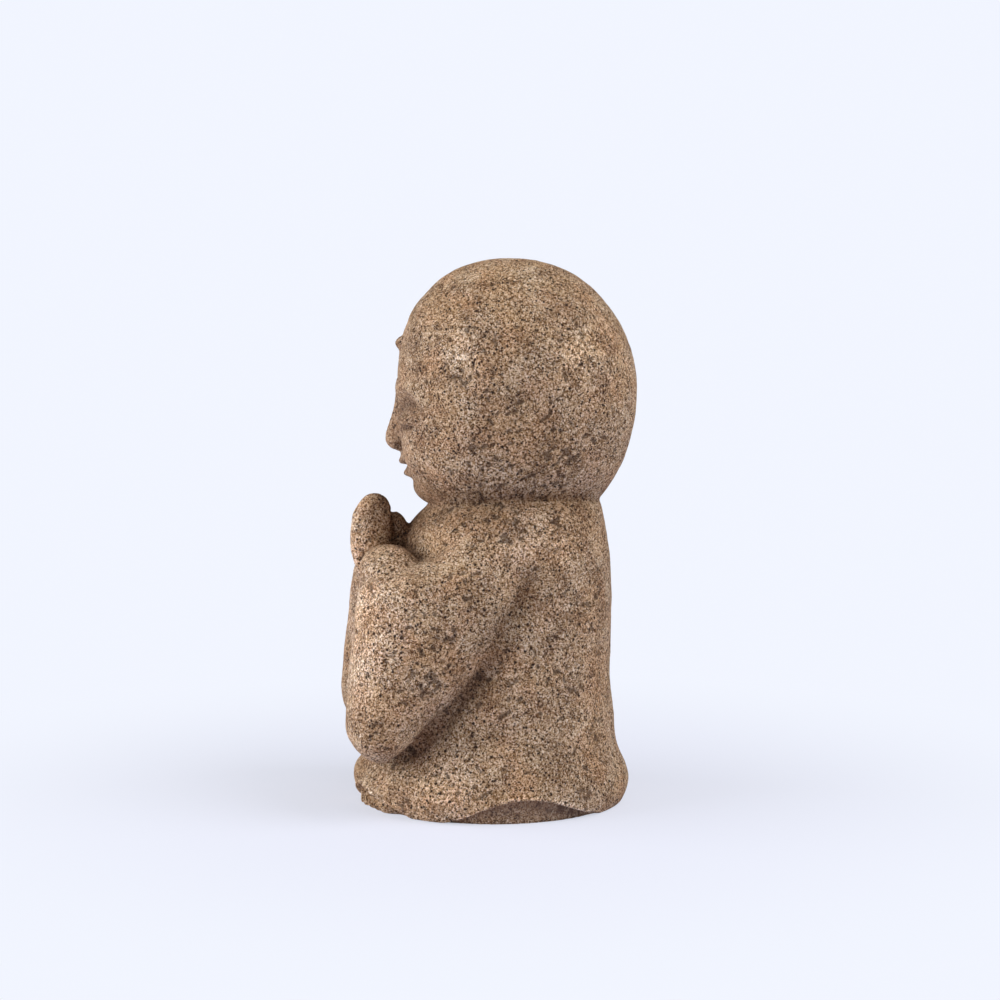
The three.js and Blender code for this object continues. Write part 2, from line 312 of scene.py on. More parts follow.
forms.append(level_form(head_section, HEAD_CENTRE_Z - FACE_BELOW + 1, HEAD_TOP, rows=120, columns=200))
forms.append(level_form(nose_section, NOSE_BOTTOM, NOSE_TOP, low_round=3, rows=30, columns=40))
forms.append(level_form(urna_section, URNA_Z - URNA_RADIUS, URNA_Z + URNA_RADIUS,
                        low_round=URNA_RADIUS, high_round=URNA_RADIUS, rows=14, columns=28))

# ---- Carving ----
# All the forms are one block of stone. They are joined into one skin, the skin is worn softer where
# the real carving runs smoothly from one form into the next, and then the finer relief is cut.

VOXEL = 1.0
MOST_TRIANGLES = 196_000


def mesh_of(name, points, faces):
    mesh = bpy.data.meshes.new(name)
    mesh.from_pydata((points * MM).tolist(), [], faces)
    mesh.update()
    return mesh


def joined(parts):
    """Points and faces of several forms as one list of each."""
    points, faces, first = [], [], 0
    for part_points, part_faces in parts:
        points.append(part_points)
        faces += [[first + corner for corner in face] for face in part_faces]
        first += len(part_points)
    return np.vstack(points), faces


def with_modifier(name, mesh, kind, **settings):
    """A new mesh: the given one after one modifier."""
    holder = bpy.data.objects.new(name, mesh)
    bpy.context.scene.collection.objects.link(holder)
    modifier = holder.modifiers.new(name, kind)
    for setting, value in settings.items():
        setattr(modifier, setting, value)
    depsgraph = bpy.context.evaluated_depsgraph_get()
    changed = bpy.data.meshes.new_from_object(holder.evaluated_get(depsgraph))
    bpy.data.objects.remove(holder)
    return changed


def places(mesh):
    values = np.empty(len(mesh.vertices) * 3, np.float32)
    mesh.vertices.foreach_get("co", values)
    return values.reshape(-1, 3).astype(float) / MM


def put_places(mesh, points):
    mesh.vertices.foreach_set("co", (points * MM).astype(np.float32).ravel())
    mesh.update()


def outward(mesh):
    values = np.empty(len(mesh.vertices) * 3, np.float32)
    mesh.vertex_normals.foreach_get("vector", values)
    return values.reshape(-1, 3).astype(float)


def neighbours(mesh):
    pairs = np.empty(len(mesh.edges) * 2, np.int32)
    mesh.edges.foreach_get("vertices", pairs)
    return pairs.reshape(-1, 2)


def neighbour_mean(values, pairs):
    """Mean of each point's neighbours, for one array of numbers."""
    count = len(values)
    a, b = pairs.T
    total = np.bincount(a, values[b], count) + np.bincount(b, values[a], count)
    return total / np.maximum(np.bincount(a, minlength=count) + np.bincount(b, minlength=count), 1)


def worn(points, pairs, share, rounds):
    """Each round moves every point its own share of the way to the mean of its neighbours."""
    points = points.copy()
    for _ in range(rounds):
        mean = np.stack([neighbour_mean(points[:, axis], pairs) for axis in range(3)], axis=1)
        points += share[:, None] * (mean - points)
    return points


def mirrored(points):
    """The points with their right half brought over to the left side, where x is positive."""
    return np.column_stack([np.abs(points[:, 0]), points[:, 1:]])


def ramp(value, width):
    """0 up to zero, then a straight rise to 1 over the width."""
    return np.clip(value / width, 0, 1)


def patch(points, centre, radii):
    """1 at the centre, falling as a bell curve over the radii."""
    return np.exp(-(((points - centre) / radii) ** 2).sum(1))


def swells(points, table):
    """Sum of patches, each given by its height, its centre and its radii."""
    return sum(height * patch(points, centre, radii) for height, centre, radii in table)


LATTICE_TURN = (0.6, 0.5, 0.4)


def lattice_noise(points, pitch, seed):
    """Smooth noise from -1 to 1: random numbers on a slanting lattice, blended by 6t^5 - 15t^4 + 10t^3."""
    slant = np.array(Euler(LATTICE_TURN).to_matrix())
    scaled = points @ slant / pitch
    first = np.floor(scaled.min(0)).astype(int)
    corner = np.floor(scaled).astype(int) - first
    size = corner.max(0) + 2
    numbers = np.random.default_rng(seed).uniform(-1, 1, size)
    t = scaled - first - corner
    t = t ** 3 * (t * (6 * t - 15) + 10)
    total = np.zeros(len(points))
    for step in np.ndindex(2, 2, 2):
        weight = np.prod(np.where(step, t, 1 - t), axis=1)
        total += weight * numbers[tuple((corner + step).T)]
    return total


def streak(points, start, end, width, across=(1, 2)):
    """1 on the straight line between two places, falling as a bell curve away from it.

    The places are given on two axes: y and z as seen from the side, or x and z as seen from the front.
    """
    seen = points[:, across]
    start, end = np.array(start, float), np.array(end, float)
    along = np.clip((seen - start) @ (end - start) / ((end - start) ** 2).sum(), 0, 1)
    return np.exp(-((seen - start - along[:, None] * (end - start)) ** 2).sum(1) / width ** 2)


# The shoulders run into the robe without an edge, so they are worn most. The foot of the stone keeps
# its edges, but the outer toes are rubbed into one round lobe.
SHOULDER = ((62, 26, 138), (40, 30, 26))
SHOULDER_SHARE = 0.9
UPPER_VALLEY = ((66, 10, 108), (30, 16, 22))
UPPER_VALLEY_SHARE = 0.4
MOST_WEAR = 0.6
SHOULDER_ROUNDS = 160
COLLAR_Z = 163
HEM_Z = 14
FADE = 12
CRISP_SHARE = 0.12
SOFT_SHARE = 0.36
SKIN_ROUNDS = 5
TOE_ROW = ((42, -70, 7), (20, 12, 9))
TOE_SHARE = 0.5
TOE_ROUNDS = 45

skin = with_modifier("one_skin", mesh_of("forms", *joined(forms)), "REMESH", mode="VOXEL",
                     voxel_size=VOXEL * MM)
pairs = neighbours(skin)
points = places(skin)
share = (SHOULDER_SHARE * patch(mirrored(points), *SHOULDER)
         + UPPER_VALLEY_SHARE * patch(mirrored(points), *UPPER_VALLEY))
share = np.clip(share, 0, MOST_WEAR) * ramp(COLLAR_Z - points[:, 2], FADE)
points = worn(points, pairs, share, SHOULDER_ROUNDS)
points = worn(points, pairs, CRISP_SHARE + SOFT_SHARE * ramp(points[:, 2] - HEM_Z, FADE), SKIN_ROUNDS)
points = worn(points, pairs, TOE_SHARE * patch(mirrored(points), *TOE_ROW), TOE_ROUNDS)
put_places(skin, points)

# The valley behind each sleeve slants from the hem up to the shoulder and is deepest near its head.
# Behind it the skirt swells in a low ridge and sinks in a wide hollow. Swells are given as height,
# centre and radii, and lines by the places of their two ends.
VALLEY_FOOT = (-53, 28)
VALLEY_BEND = (-16, 68)
VALLEY_HEAD = (17, 130)
VALLEY_DEPTH = [(24, 0), (32, 3), (60, 2.9), (90, 3.3), (118, 4), (140, 0)]
VALLEY_LOW_WIDTH = 5
VALLEY_HIGH_WIDTH = 5.5
SIDE_X = 38
SIDE_TOP = 140
RIDGE = ((-20, 34), (16, 72), 9)
RIDGE_HEIGHT = 1.2
SKIRT_SWELLS = [(-2.2, (72, 4, 48), (30, 20, 12)), (1.2, (72, -22, 26), (30, 16, 9))]
TOE_SWELLS = [(3.6, (37, -71, 11), (10, 8, 7)), (3.4, (43, -65, 5), (8, 9, 7))]
THUMB_CREASE = ((-53, 130), (-53.5, 162), 1.3)
THUMB_CREASE_DEPTH = 1.3
THUMB_CREASE_REACH = 18
DRILL_PITS = [(-3.5, (60, -53, 31), (3.2, 3.2, 3.2)), (-3, (53, -59, 8), (2.4, 2.4, 2.4))]
CHISEL_CUTS = [((-16, 45.5), (-11.5, 40.5)), ((-8, 41.5), (7, 43.5)), ((-44, 44), (-16, 78)),
               ((-36, 57), (-10, 90)), ((-27, 54), (-20, 64)), ((-52, 46), (-38, 62))]
CHISEL_DEPTH = 0.9
CHISEL_WIDTH = 0.8
OUTER_X = 40
TOE_GAPS = [16, 23.7, 30.9]
TOE_GAP_DEPTH = 1.8
TOE_GAP_WIDTH = 1.2
TOE_GAP_BACK = -50
TOE_GAP_TOP = 13
TOE_GAP_FADE = 3
LIP_ABOVE = 0.9
LIP_WIDTH = 1.1
LIP_LEAST_LIFT = 1
LIP_FADE = 3


def hem_lip(points):
    """1 along the robe's lower edge where it lifts off the ground, falling away above and below it."""
    x, y, z = points.T
    lift = np.maximum(np.where(x > 0, wave(y, **LEFT_WAVE), wave(y, **RIGHT_WAVE)),
                      np.where(y < 0, wave(np.abs(x), **FOOT_WAVE), 0))
    return np.exp(-((z - lift - LIP_ABOVE) / LIP_WIDTH) ** 2) * ramp(lift - LIP_LEAST_LIFT, LIP_FADE)


def robe_relief(points):
    """Height in mm added to the robe: the sum of its grooves, swells and hollows."""
    both_sides = mirrored(points)
    x, y, z = both_sides.T
    depth = np.clip(through(VALLEY_DEPTH)(z), 0, None)
    valley = np.maximum(streak(both_sides, VALLEY_FOOT, VALLEY_BEND, VALLEY_LOW_WIDTH),
                        streak(both_sides, VALLEY_BEND, VALLEY_HEAD, VALLEY_HIGH_WIDTH))
    at_side = ramp(x - SIDE_X, FADE) * (z < SIDE_TOP)
    relief = at_side * (RIDGE_HEIGHT * streak(both_sides, *RIDGE) - depth * valley
                        + swells(both_sides, SKIRT_SWELLS))
    relief += hem_lip(points)
    relief -= THUMB_CREASE_DEPTH * streak(both_sides, *THUMB_CREASE) * (x < THUMB_CREASE_REACH)
    gaps = sum(np.exp(-((x - gap) / TOE_GAP_WIDTH) ** 2) for gap in TOE_GAPS)
    relief -= TOE_GAP_DEPTH * gaps * (y < TOE_GAP_BACK) * ramp(TOE_GAP_TOP - z, TOE_GAP_FADE)
    relief += swells(both_sides, TOE_SWELLS) + swells(points, DRILL_PITS)
    cuts = sum(streak(points, start, end, CHISEL_WIDTH) for start, end in CHISEL_CUTS)
    return relief - CHISEL_DEPTH * cuts * (points[:, 0] > OUTER_X)


# The face is plain and calm: a brow in one arc from the bridge of the nose, closed lids, full cheeks
# and a small mouth. Its swells are given as height, place across and up, and radii across and up.
FACE_Y = -12
FACE_FADE = 14
FACE_BOTTOM_Z = 156
FACE_BOTTOM_FADE = 8
EYE_X = 21
EYE_Z = 213
MOUTH_Z = 186
BROW = [((5, 224), (16, 231.5), 3), ((16, 231.5), (30, 230), 3.2), ((30, 230), (40, 222), 3.6)]
BROW_HEIGHT = 2.2
LID_HEIGHT = 3.9
LID_RADII = (12.5, 6.2)
LID_POWER = 1.6
SOCKET = (-4, (EYE_X, 220.5), (14, 6))
INNER_CORNER = (-1.8, (8.5, 216), (5, 7))
CHEEK = (2.6, (25, 194), (16, 13))
NOSE_WING = (2, (6.4, 198.5), (3.2, 3.4))
UPPER_LIP = (2.7, (2.5, MOUTH_Z + 2.9), (6.5, 2.4))
LOWER_LIP = (2.7, (0, MOUTH_Z - 3.2), (6.5, 2.6))
DIMPLE = (-1.2, (11, MOUTH_Z + 1.5), (2.6, 2.6))
UNDER_LIP = (-1.5, (0, 178.5), (8, 2.6))
CHIN = (2.6, (0, 171.5), (10, 6.5))
FACE_SWELLS = [SOCKET, INNER_CORNER, CHEEK, NOSE_WING, UPPER_LIP, LOWER_LIP, DIMPLE, UNDER_LIP, CHIN]
LASH = dict(below=4.2, bend=0.016, width=1.8, reach=10.5)
MOUTH = dict(bend=0.014, width=1.7, reach=10)
WING_FOLD = ((10, 198), (1.8, 4))
CREASE_DEPTHS = (3, 3.2, 1.6)


def in_front(points):
    """1 on the face's side of the head above the collar, 0 elsewhere."""
    return ramp(FACE_Y - points[:, 1], FACE_FADE) * ramp(points[:, 2] - FACE_BOTTOM_Z, FACE_BOTTOM_FADE)


def face_creases(points):
    """The lash lines, the line of the mouth and the wings' folds, each 1 at its deepest.

    A line is a bell curve across z = height + bend * x^2 that ends where a fourth power cuts it off.
    """
    x, _, z = mirrored(points).T
    across = x - EYE_X - 1
    lash = np.exp(-((z - EYE_Z + LASH["below"] - LASH["bend"] * across ** 2) / LASH["width"]) ** 2
                  - (across / LASH["reach"]) ** 4)
    mouth = np.exp(-((z - MOUTH_Z - MOUTH["bend"] * x ** 2) / MOUTH["width"]) ** 2
                   - (x / MOUTH["reach"]) ** 4)
    fold = patch(np.column_stack([x, z]), *WING_FOLD)
    return np.stack([lash, mouth, fold]) * in_front(points)


def face_relief(points):
    """Height in mm added to the face: the sum of its rounded parts and fine cuts."""
    both_sides = mirrored(points)
    seen = both_sides[:, [0, 2]]
    brow = np.max([streak(both_sides, start, end, width, (0, 2)) for start, end, width in BROW], axis=0)
    eye = (seen - (EYE_X + 1, EYE_Z)) / LID_RADII
    lid = np.exp(-(eye ** 2).sum(1) ** LID_POWER)
    shaped = in_front(points) * (BROW_HEIGHT * brow + LID_HEIGHT * lid + swells(seen, FACE_SWELLS))
    return shaped - CREASE_DEPTHS @ face_creases(points)


# The chisel and the weather have left the skin uneven at every size, down to pits of two millimetres.
# The pits crowd together in clusters, most of all where the skin is chipped. The face and the toes
# are smoother.
UNEVEN = [(26, 0.5), (11, 0.35), (5, 0.2)]
PIT_PITCH = 2.3
PIT_DEPTH = 0.8
PIT_START = 0.48
PIT_SLOPE = 0.3
CLUSTER_PITCH = 13
CLUSTER_SHARE = 0.24
CHIPPED_SHARE = 1.5
CHIPPED = [((78, -27, 104), 7), ((79, -36, 82), 8), ((56, 46, 247), 7), ((58, 34, 160), 9),
           ((55, 34, 190), 11), ((48, -4, 179), 9), ((58, -18, 241), 8), ((70, -16, 120), 6)]
CLUSTER_SEED = 11
PIT_SEED = 12
HEM_ROUGH_Z = 8
HEM_ROUGH_FADE = 16
LEAST_AT_HEM = 0.35
SMOOTH_FACE = ((0, -52, 205), (44, 30, 36))
FACE_SMOOTHED = 0.6
FACE_UNPITTED = 0.5
SMOOTH_TOES = ((32, -72, 6), (26, 12, 10))
TOES_SMOOTHED = 0.85
SOLE = 0.4
SOLE_FADE = 3


def chipped(points):
    """1 where the skin is badly pitted, 0 elsewhere."""
    return sum(patch(points, centre, (2 * radius, radius, radius)) for centre, radius in CHIPPED)


def weathering(points):
    """Height in mm added everywhere, and how far each point is down in a pit, from 0 to 1."""
    uneven = sum(size * lattice_noise(points, pitch, seed) for seed, (pitch, size) in enumerate(UNEVEN))
    cluster = lattice_noise(points, CLUSTER_PITCH, CLUSTER_SEED) + CHIPPED_SHARE * chipped(points)
    rough = lattice_noise(points, PIT_PITCH, PIT_SEED)
    pit = ramp(rough - PIT_START + CLUSTER_SHARE * cluster, PIT_SLOPE)
    at_hem = np.clip((points[:, 2] - HEM_ROUGH_Z) / HEM_ROUGH_FADE, LEAST_AT_HEM, 1)
    face = patch(mirrored(points), *SMOOTH_FACE)
    toes = patch(mirrored(points), *SMOOTH_TOES)
    left_rough = at_hem * (1 - FACE_SMOOTHED * face) * (1 - TOES_SMOOTHED * toes)
    return (uneven - PIT_DEPTH * pit) * left_rough, pit * (1 - FACE_UNPITTED * face)


uneven, pit = weathering(points)
relief = (robe_relief(points) + face_relief(points) + uneven) * ramp(points[:, 2] - SOLE, SOLE_FADE)
points += outward(skin) * relief[:, None]
put_places(skin, points)

# Where the stone lies deep it is darker, partly for dirt settled there and partly as painted shade: a
# point is in a hollow when its surroundings' mean lies outside it. The fronts of the sleeves and hands
# are paler, partly washed by rain and partly as painted light where they face the lamps. Stains are
# left in the sheltered places, with painted shade between the hands and the chest, under the head, in
# the valley behind each sleeve and on the front of the right sleeve.
SURROUND_SHARE = 0.5
SURROUND_ROUNDS = 60
FULL_HOLLOW_DEPTH = 2.2
SCUFFS = [((60, -21, 250), 13), ((52, 46, 248), 13), ((60, 28, 158), 14), ((76, -30, 20), 16)]
SCUFF_STRETCH = 1.6
# Along the hem's lifted edge the rubbed paling is a painted highlight.
LIP_HIGHLIGHT = 1.6
# Paler fronts of the sleeves and hands and tops of the shoulders: partly rain-washed stone, partly painted
# light where they face the lamps.
WASHED_AND_LIT = [(1.15, (62, -76, 106), (40, 26, 40)), (1, (10, -74, 148), (14, 9, 26)),
          (0.22, (60, 14, 148), (24, 30, 24))]
# Darker patches: dirt and painted shade between the hands and the chest, painted shade under the head, and
# a faint darkening over the upper face.
STAIN_AND_SHADE_PATCHES = [(1.9, (8, -46, 150), (22, 12, 18)), (0.9, (44, 4, 167), (30, 70, 12)),
           (0.16, (30, -40, 258), (60, 44, 44))]
# Painted shade on the front of the right sleeve.
RIGHT_SLEEVE_SHADE = (0.7, (-24, -76, 92), (20, 14, 52))
# Painted shade along the valley behind each sleeve.
VALLEY_SHADE = 0.6
VALLEY_SHADE_WIDTH = 8
# The face's creases are painted darker.
CREASE_DARKENING = 1.4
EVEN_FACE = (0.7, (0, -54, 204), (36, 24, 32))
BLOCK_INSIDE = 0.06
BLOCK_INSIDE_FADE = 0.05
BLOCK_TOP_FADE = 2


def depth_in_hollow(points):
    """How far each point lies inside the mean of its wide surroundings, from 0 to 1."""
    around = worn(points, pairs, np.full(len(points), SURROUND_SHARE), SURROUND_ROUNDS)
    return ramp(((around - points) * outward(skin)).sum(1), FULL_HOLLOW_DEPTH)


def under_hem(points):
    """1 on the sides of the low base that stand back from the robe's outline, 0 elsewhere."""
    front, back, _, half, power = robe_section(points[:, 2])
    along = (2 * points[:, 1] - front - back) / (back - front)
    inside = 1 - np.abs(points[:, 0] / half) ** power - np.abs(along) ** power
    return ramp(HEM_Z - points[:, 2], BLOCK_TOP_FADE) * ramp(inside - BLOCK_INSIDE, BLOCK_INSIDE_FADE)


def finishes(points):
    """Where the stone has its pits, hollows, rubbed places, paler fronts, stains and plain parts, each
    from
    0 to 1. Painted light is among them: shade in the hollows and stains, a highlight on the hem's edge
    and paler fronts where they face the lamps.
    """
    both_sides = mirrored(points)
    rubbed = sum(patch(points, centre, (radius * SCUFF_STRETCH, radius, radius))
                 for centre, radius in SCUFFS)
    valley = streak(both_sides, VALLEY_BEND, VALLEY_HEAD, VALLEY_SHADE_WIDTH)
    # Stains and painted shade: the patches, the valleys, the right sleeve's front and the face's creases.
    stains_and_shade = swells(both_sides, STAIN_AND_SHADE_PATCHES) + swells(points, [RIGHT_SLEEVE_SHADE])
    stains_and_shade += VALLEY_SHADE * valley * (both_sides[:, 0] > OUTER_X)
    stains_and_shade += CREASE_DARKENING * face_creases(points).sum(0)
    # The hem's lifted edge is added to the rubbed places as a painted highlight.
    return dict(pit=pit, hollow=depth_in_hollow(points), scuff_and_highlight=rubbed + LIP_HIGHLIGHT * hem_lip(points),
                washed_and_lit=swells(both_sides, WASHED_AND_LIT), stains_and_shade=stains_and_shade,
                plain=under_hem(points) + swells(both_sides, [EVEN_FACE]))


for name, values in finishes(points).items():
    values = np.clip(values, 0, 1).astype(np.float32)
    skin.attributes.new(name, "FLOAT", "POINT").data.foreach_set("value", values)
triangles = sum(len(face.vertices) - 2 for face in skin.polygons)
skin = with_modifier("thinned", skin, "DECIMATE", ratio=min(1, MOST_TRIANGLES / triangles))

# ---- Granite ----
# Rusty two-mica granite: tan and pinkish feldspar with dark brown grains of one to two millimetres.
# Rain and hands have stained it ochre in places and rubbed it pale on the round parts. Painted light is
# laid in the colour too: paler paint on the fronts that face the lamps and along the hem's lifted
# edge, and painted shade in the pits, hollows and sheltered places.

# Widths in millimetres of the grains and of the wide changes of tint, and the depth of the bumps.
GRAIN_SIZE = 0.6
SPECK_SIZE = 1.25
PRICK_SIZE = 2.4
FINE_SIZE = 1.5
MOTTLE_SIZE = 1.9
CROWD_SIZE = 13
ROSY_SIZE = 15
RUSTY_SIZE = 24
GREY_SIZE = 12
RUBBED_SIZE = 3
BUMP_DEPTH = 0.4


def tone(red, green, blue):
    """A colour given as it looks on a screen, 0 to 255, in the linear light that shaders use."""
    screen = np.array([red, green, blue]) / 255
    return (*np.where(screen < 0.04045, screen / 12.92, ((screen + 0.055) / 1.055) ** 2.4), 1)


# Grain tones from the darkest crystals to the palest, then the tones laid over them. A wash is a
# factor on each of red, green and blue.
GRAIN_TONES = [(0.1, tone(68, 42, 21)), (0.26, tone(125, 90, 56)), (0.42, tone(175, 142, 105)),
               (0.62, tone(199, 170, 137)), (0.9, tone(234, 214, 191))]
GREY_TONE = tone(128, 108, 92)
MOTTLE_TONE = tone(102, 68, 43)
SPECK_TONE = tone(60, 36, 19)
PRICK_TONE = tone(46, 26, 13)
# Tone in the pits: partly their dark grains, partly painted shade.
PIT_GRAIN_AND_SHADE_TONE = tone(78, 56, 39)
EVEN_TONE = tone(140, 114, 97)
ROSY_WASH = (1.0, 0.93, 0.9, 1)
RUSTY_WASH = (1.0, 0.922, 0.82, 1)
# Paler wash for the rubbed places and the painted highlight on the hem's edge.
RUBBED_AND_HIGHLIGHT_WASH = (1.5, 1.6, 1.74, 1)
# Paler wash for the fronts: partly rain-washed stone, partly painted light.
RAIN_AND_LIGHT_WASH = (1.5, 1.57, 1.72, 1)
# Dark wash for hollows and stains: partly dirt, partly painted shade.
DIRT_AND_SHADE_WASH = (0.36, 0.28, 0.22, 1)


def granite():
    """Grains are Voronoi cells, each with a random tone; wide noise moves the tone, and the carving's
    own pits, hollows and rubbed places darken or pale it. Part of that is painted light: shade painted
    into the pits, hollows and sheltered places, a painted highlight along the hem's edge and paler paint
    on the fronts that face the lamps."""
    material = bpy.data.materials.new("granite")
    material.use_nodes = True
    tree = material.node_tree
    shader = tree.nodes["Principled BSDF"]

    def node(kind, values=(), **settings):
        made = tree.nodes.new("ShaderNode" + kind)
        for setting, value in settings.items():
            setattr(made, setting, value)
        for socket, value in values:
            if isinstance(value, bpy.types.NodeSocket):
                tree.links.new(value, made.inputs[socket])
            else:
                made.inputs[socket].default_value = value
        return made

    place = node("TexCoord").outputs["Object"]

    def noise(size, detail=2.0, roughness=0.5):
        """Noise from 0 to 1 whose lumps are about `size` millimetres wide."""
        return node("TexNoise", [("Vector", place), ("Scale", 1 / (size * MM)), ("Detail", detail),
                                 ("Roughness", roughness)]).outputs

    def grains(size, wobble):
        """Voronoi cells about `size` millimetres wide with uneven borders: random tone and depth."""
        bent = node("VectorMath", [(0, noise(size, 1)["Color"]), (1, (wobble * MM,) * 3), (2, place)],
                    operation="MULTIPLY_ADD").outputs[0]
        cells = node("TexVoronoi", [("Vector", bent), ("Scale", 1 / (size * MM))]).outputs
        random = node("SeparateColor", [("Color", cells["Color"])]).outputs[0]
        return random, cells["Distance"]

    def ranged(value, low, high, to_low=0.0, to_high=1.0):
        """The value taken from one range to another and kept inside it."""
        return node("MapRange", [("Value", value), ("From Min", low), ("From Max", high),
                                 ("To Min", to_low), ("To Max", to_high)]).outputs[0]

    def combined(operation, first, second):
        return node("Math", [(0, first), (1, second)], operation=operation).outputs[0]

    def mixed(share, first, second, blend="MIX"):
        return node("Mix", [(0, share), (6, first), (7, second)], data_type="RGBA",
                    blend_type=blend).outputs[2]

    def palette(value, stops):
        """Colour ramp with straight steps between its stops."""
        made = node("ValToRGB", [(0, value)])
        elements = made.color_ramp.elements
        while len(elements) < len(stops):
            elements.new(0.5)
        for element, (position, colour) in zip(elements, stops):
            element.position = position
            element.color = colour
        return made.outputs[0]

    grain, _ = grains(GRAIN_SIZE, 0.2)
    speck, speck_depth = grains(SPECK_SIZE, 0.8)
    prick, prick_depth = grains(PRICK_SIZE, 1.5)
    fine = noise(FINE_SIZE, 2, 0.6)["Fac"]
    pit, hollow, scuff_and_highlight, washed_and_lit, stains_and_shade, plain = (
        node("Attribute", attribute_name=name).outputs["Fac"]
        for name in ("pit", "hollow", "scuff_and_highlight", "washed_and_lit", "stains_and_shade", "plain"))

    crowd = ranged(noise(CROWD_SIZE, 3)["Fac"], 0.4, 0.64)
    level = combined("ADD", combined("MULTIPLY", grain, 0.72), ranged(fine, 0.38, 0.62, 0, 0.3))
    level = combined("SUBTRACT", level, combined("MULTIPLY", crowd, 0.06))
    stone = palette(level, GRAIN_TONES)
    rosy = mixed(ranged(noise(ROSY_SIZE, 3)["Fac"], 0.45, 0.65), stone, ROSY_WASH, "MULTIPLY")
    rusty = mixed(ranged(noise(RUSTY_SIZE, 5)["Fac"], 0.44, 0.62), rosy, RUSTY_WASH, "MULTIPLY")
    grey = mixed(ranged(noise(GREY_SIZE, 4)["Fac"], 0.56, 0.72, 0, 0.12), rusty, GREY_TONE)
    # Rubbed places paled, and a painted highlight along the hem's lifted edge.
    rubbed_and_highlight_share = combined("MULTIPLY", scuff_and_highlight, ranged(noise(RUBBED_SIZE, 4)["Fac"], 0.37, 0.53))
    rubbed = mixed(rubbed_and_highlight_share, grey, RUBBED_AND_HIGHLIGHT_WASH, "MULTIPLY")

    blotch = ranged(combined("ADD", noise(MOTTLE_SIZE, 4, 0.7)["Fac"], combined("MULTIPLY", crowd, 0.13)),
                    0.58, 0.66, 0, 0.5)
    mottled = mixed(blotch, rubbed, MOTTLE_TONE)
    crowding = combined("MULTIPLY", crowd, 0.09)
    speck_share = combined("MULTIPLY", ranged(combined("ADD", speck, crowding), 0.765, 0.785),
                           ranged(speck_depth, 0.4, 0.35, 0, 0.94))
    specked = mixed(speck_share, mottled, SPECK_TONE)
    prick_share = combined("MULTIPLY", ranged(combined("ADD", prick, crowding), 0.78, 0.8),
                           ranged(prick_depth, 0.31, 0.27, 0, 0.97))
    pricked = mixed(prick_share, specked, PRICK_TONE)
    # Pits darkened: partly their dark grains, partly painted shade.
    pitted = mixed(ranged(pit, 0.25, 0.9, 0, 0.66), pricked, PIT_GRAIN_AND_SHADE_TONE)
    # Fronts paled: partly rain-washed, partly painted light where they face the lamps.
    paled = mixed(washed_and_lit, pitted, RAIN_AND_LIGHT_WASH, "MULTIPLY")
    even = mixed(combined("MULTIPLY", plain, 0.5), paled, EVEN_TONE)
    # Hollows and stains darkened: dirt, and painted shade in the hollows and sheltered places.
    dirt_and_shade = combined("ADD", ranged(hollow, 0.1, 0.7, 0, 0.66), combined("MULTIPLY", stains_and_shade, 0.66))
    dirty_and_shaded = mixed(ranged(dirt_and_shade, 0, 1, 0, 0.95), even, DIRT_AND_SHADE_WASH, "MULTIPLY")
    tree.links.new(dirty_and_shaded, shader.inputs["Base Color"])

    tree.links.new(ranged(level, 0, 1, 0.98, 0.82), shader.inputs["Roughness"])
    sunk = combined("ADD", speck_share, combined("MULTIPLY", prick_share, 2.5))
    sunk = combined("ADD", sunk, combined("MULTIPLY", blotch, 0.8))
    height = combined("SUBTRACT", combined("MULTIPLY", level, 0.7), sunk)
    bump = node("Bump", [("Strength", 0.8), ("Distance", BUMP_DEPTH * MM), ("Height", height)])
    tree.links.new(bump.outputs[0], shader.inputs["Normal"])
    return material


statue = bpy.data.objects.new("granite_jizo", skin)
bpy.context.scene.collection.objects.link(statue)
skin.shade_smooth()
skin.materials.clear()
skin.materials.append(granite())
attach(statue, "root")
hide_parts("jizo_statue")

# ---- Floor, light and camera ----
# A plain pale floor in a bright even room, with three large soft lamps: the strongest before the
# figure, a weaker one high behind its left shoulder and a faint one overhead.

CAMERA_AZIMUTH = 85.3
CAMERA_ELEVATION = 6.3
CAMERA_DISTANCE = 1.5
CAMERA_LENS = 97.3
AIM = Vector((0, 0.006, 0.1665))


def away(azimuth, elevation, distance):
    """Offset seen from the aim: azimuth 0 is in front of the figure and 90 at its left side."""
    turn, lift = math.radians(azimuth), math.radians(elevation)
    level = distance * math.cos(lift)
    return Vector((level * math.sin(turn), -level * math.cos(turn), distance * math.sin(lift)))


def seen_by_camera(tree):
    """1 for what the camera sees straight on and 0 for light that bounces."""
    return tree.nodes.new("ShaderNodeLightPath").outputs["Is Camera Ray"]


# Away from the figure the floor glows as the room does, so that the two meet without a line.
FLOOR_HALF = 12.0
FLOOR_COLOUR = (0.81, 0.82, 1.0)
ROOM_COLOUR = (0.885, 0.915, 1.0)
ROOM_LIGHT = 0.1
NEAR_FLOOR = 0.06
FAR_FLOOR = 0.4
FLOOR_ROUGHNESS = 0.6
LEAST_GLOW = 0.6

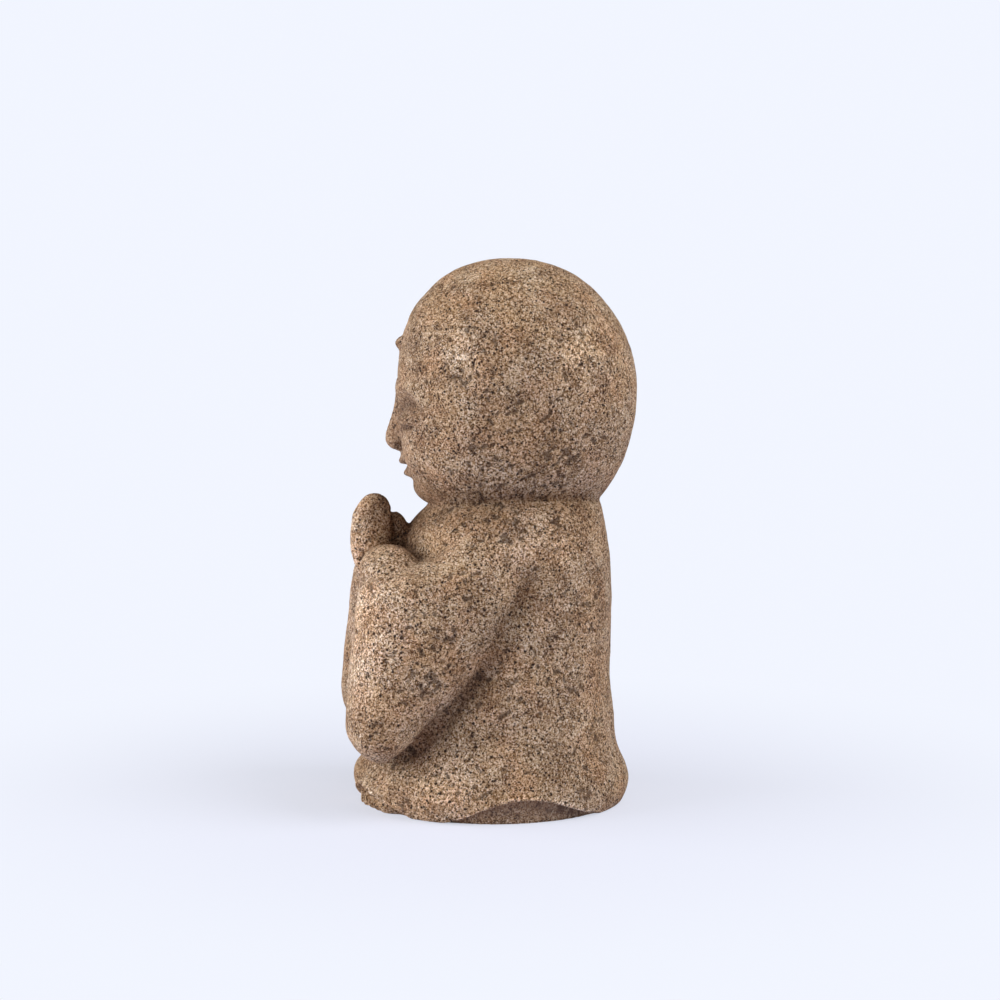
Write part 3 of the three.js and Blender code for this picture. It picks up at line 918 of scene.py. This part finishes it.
floor_mesh = bpy.data.meshes.new("floor")
floor_mesh.from_pydata([(-FLOOR_HALF, -FLOOR_HALF, 0), (FLOOR_HALF, -FLOOR_HALF, 0),
                        (FLOOR_HALF, FLOOR_HALF, 0), (-FLOOR_HALF, FLOOR_HALF, 0)], [], [(0, 1, 2, 3)])
floor_material = bpy.data.materials.new("pale_floor")
floor_material.use_nodes = True
tree = floor_material.node_tree
paint = tree.nodes["Principled BSDF"]
paint.inputs["Base Color"].default_value = (*FLOOR_COLOUR, 1)
paint.inputs["Roughness"].default_value = FLOOR_ROUGHNESS
glow = tree.nodes.new("ShaderNodeEmission")
glow.inputs["Color"].default_value = (*ROOM_COLOUR, 1)
reach = tree.nodes.new("ShaderNodeVectorMath")
reach.operation = "LENGTH"
far = tree.nodes.new("ShaderNodeMapRange")
far.interpolation_type = "SMOOTHSTEP"
far.inputs["From Min"].default_value = NEAR_FLOOR
far.inputs["From Max"].default_value = FAR_FLOOR
far.inputs["To Min"].default_value = LEAST_GLOW
only_seen = tree.nodes.new("ShaderNodeMath")
only_seen.operation = "MULTIPLY"
blend = tree.nodes.new("ShaderNodeMixShader")
tree.links.new(tree.nodes.new("ShaderNodeTexCoord").outputs["Object"], reach.inputs[0])
tree.links.new(reach.outputs["Value"], far.inputs["Value"])
tree.links.new(far.outputs[0], only_seen.inputs[0])
tree.links.new(seen_by_camera(tree), only_seen.inputs[1])
tree.links.new(only_seen.outputs[0], blend.inputs[0])
tree.links.new(paint.outputs[0], blend.inputs[1])
tree.links.new(glow.outputs[0], blend.inputs[2])
tree.links.new(blend.outputs[0], tree.nodes["Material Output"].inputs["Surface"])
floor_mesh.materials.append(floor_material)
floor = bpy.data.objects.new("floor", floor_mesh)
bpy.context.scene.collection.objects.link(floor)

# Each lamp: azimuth and elevation as seen from the aim, width in metres and power in watts.
LAMP_DISTANCE = 1.7
LAMPS = dict(left_box=(5, 14, 1.9, 35), right_box=(152, 46, 1.5, 23), top_box=(85, 82, 1.5, 4.5))

for name, (azimuth, elevation, width, watts) in LAMPS.items():
    data = bpy.data.lights.new(name, "AREA")
    data.shape = "DISK"
    data.size = width
    data.energy = watts
    lamp = bpy.data.objects.new(name, data)
    lamp.location = AIM + away(azimuth, elevation, LAMP_DISTANCE)
    lamp.rotation_euler = (AIM - lamp.location).to_track_quat("-Z", "Y").to_euler()
    bpy.context.scene.collection.objects.link(lamp)

world = bpy.data.worlds.new("room")
world.use_nodes = True
background = world.node_tree.nodes["Background"]
background.inputs["Color"].default_value = (*ROOM_COLOUR, 1)
strength = world.node_tree.nodes.new("ShaderNodeMapRange")
strength.inputs["To Min"].default_value = ROOM_LIGHT
world.node_tree.links.new(seen_by_camera(world.node_tree), strength.inputs["Value"])
world.node_tree.links.new(strength.outputs[0], background.inputs["Strength"])
bpy.context.scene.world = world
bpy.context.scene.view_settings.view_transform = "Standard"

camera_data = bpy.data.cameras.new("camera")
camera_data.lens = CAMERA_LENS
camera = bpy.data.objects.new("camera", camera_data)
camera.location = AIM + away(CAMERA_AZIMUTH, CAMERA_ELEVATION, CAMERA_DISTANCE)
camera.rotation_euler = (AIM - camera.location).to_track_quat("-Z", "Y").to_euler()
bpy.context.scene.collection.objects.link(camera)
bpy.context.scene.camera = camera
